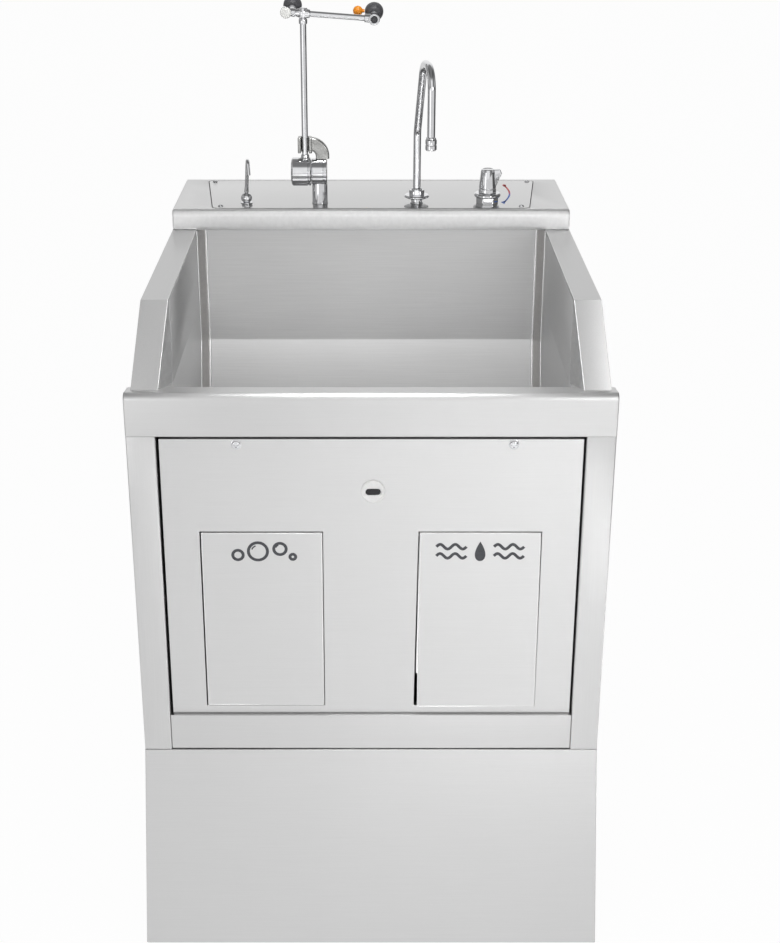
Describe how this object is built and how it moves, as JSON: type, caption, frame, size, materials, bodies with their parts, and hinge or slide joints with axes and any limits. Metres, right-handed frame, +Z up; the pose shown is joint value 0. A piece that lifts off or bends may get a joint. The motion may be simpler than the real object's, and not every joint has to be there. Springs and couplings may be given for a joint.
{
  "type": "surgical scrub sink",
  "caption": "Floor-standing stainless steel scrub sink with side guards, knee-push soap and water panels, gooseneck spout, mixer, soap spout and a swing-down eyewash.",
  "frame": {"origin": "on the floor, under the middle of the sink's overall box", "axes": "+Z up, the user stands at -Y, +X to the user's right"},
  "size_m": [0.746, 0.7, 1.4608],
  "materials": {
    "brushed_steel": "brushed stainless steel sheet",
    "chrome_plate": "polished chrome plate",
    "cast_brass": "cast brass",
    "drawn_copper": "drawn copper tube",
    "white_plastic": "moulded white plastic",
    "grey_plastic": "moulded dark grey plastic",
    "orange_plastic": "moulded orange plastic",
    "black_lens": "dark infrared window"
  },
  "bodies": {
    "sink": {"pedestal": "brushed_steel", "cabinet_floor": "brushed_steel", "left_side_panel": "brushed_steel", "right_side_panel": "brushed_steel", "back_panel": "brushed_steel", "left_stile": "brushed_steel", "right_stile": "brushed_steel", "bottom_rail": "brushed_steel", "apron": "brushed_steel", "access_panel": "brushed_steel", "basin": "brushed_steel", "left_guard_cap": "brushed_steel", "right_guard_cap": "brushed_steel", "deck": "brushed_steel", "deck_plate": "brushed_steel", "soap_knee_bracket": "brushed_steel", "water_knee_bracket": "brushed_steel", "eyewash_clip": "brushed_steel", "drain_strainer": "brushed_steel", "panel_screw_left": "chrome_plate", "panel_screw_right": "chrome_plate", "deck_screw_front_left": "chrome_plate", "deck_screw_front_right": "chrome_plate", "deck_screw_rear_left": "chrome_plate", "deck_screw_rear_right": "chrome_plate", "soap_hinge_pin": "chrome_plate", "water_hinge_pin": "chrome_plate", "eyewash_post": "chrome_plate", "faucet_base": "chrome_plate", "mixer_base": "chrome_plate", "soap_spout_base": "chrome_plate", "drain_tailpiece": "chrome_plate", "drain_trap": "chrome_plate", "soap_pump": "cast_brass", "water_valve": "cast_brass", "cold_supply_pipe": "drawn_copper", "hot_supply_pipe": "drawn_copper", "mixed_water_pipe": "drawn_copper", "spout_supply_pipe": "drawn_copper", "eyewash_supply_pipe": "drawn_copper", "sensor_bezel": "white_plastic", "soap_bottle": "white_plastic", "soap_tube": "white_plastic", "sensor_housing": "grey_plastic", "solenoid_coil": "grey_plastic", "sensor_lens": "black_lens"},
    "eyewash_arm_body": {"eyewash_hub": "chrome_plate", "eyewash_arm": "chrome_plate", "left_spray_head": "grey_plastic", "right_spray_head": "grey_plastic", "white_end_cap": "white_plastic", "orange_cap": "orange_plastic"},
    "spout_body": {"faucet_spout": "chrome_plate", "faucet_outlet": "chrome_plate"},
    "mixer_knob_body": {"mixer_knob": "chrome_plate"},
    "soap_spout_body": {"soap_spout": "chrome_plate"},
    "soap_knee_body": {"soap_knee_panel": "brushed_steel"},
    "soap_plunger_body": {"soap_plunger": "cast_brass"},
    "water_knee_body": {"water_knee_panel": "brushed_steel"},
    "water_plunger_body": {"water_plunger": "cast_brass"}
  },
  "joints": [
    {"name": "eyewash_swing", "type": "hinge", "parent": "sink", "child": "eyewash_arm_body", "pos_m": [-0.11, 0.168, 1.1786], "axis": [1, 0, 0], "range_deg": [0, 90]},
    {"name": "spout_swivel", "type": "hinge", "parent": "sink", "child": "spout_body", "pos_m": [0.077, 0.168, 1.1253], "axis": [0, 0, 1], "range_deg": [-60, 60]},
    {"name": "mixer_turn", "type": "hinge", "parent": "sink", "child": "mixer_knob_body", "pos_m": [0.196, 0.168, 1.1253], "axis": [0, 0, 1], "range_deg": [-45, 45]},
    {"name": "soap_spout_swivel", "type": "hinge", "parent": "sink", "child": "soap_spout_body", "pos_m": [-0.21, 0.168, 1.1253], "axis": [0, 0, 1], "range_deg": [-60, 60]},
    {"name": "soap_knee_push", "type": "hinge", "parent": "sink", "child": "soap_knee_body", "pos_m": [-0.163, -0.3265, 0.7385], "axis": [1, 0, 0], "range_deg": [0, 7], "stiffness_Nm_per_rad": 4, "springref_deg": -8.59},
    {"name": "soap_plunger_slide", "type": "slide", "parent": "sink", "child": "soap_plunger_body", "axis": [0, 1, 0], "range_m": [0, 0.0128]},
    {"name": "water_knee_push", "type": "hinge", "parent": "sink", "child": "water_knee_body", "pos_m": [0.163, -0.3265, 0.7385], "axis": [1, 0, 0], "range_deg": [0, 7], "stiffness_Nm_per_rad": 4, "springref_deg": -8.59},
    {"name": "water_plunger_slide", "type": "slide", "parent": "sink", "child": "water_plunger_body", "axis": [0, 1, 0], "range_m": [0, 0.0128]}
  ],
  "couplings": [
    {"joint": "soap_plunger_slide", "follows": "soap_knee_push", "m_per_rad": 0.104},
    {"joint": "water_plunger_slide", "follows": "water_knee_push", "m_per_rad": 0.104}
  ]
}
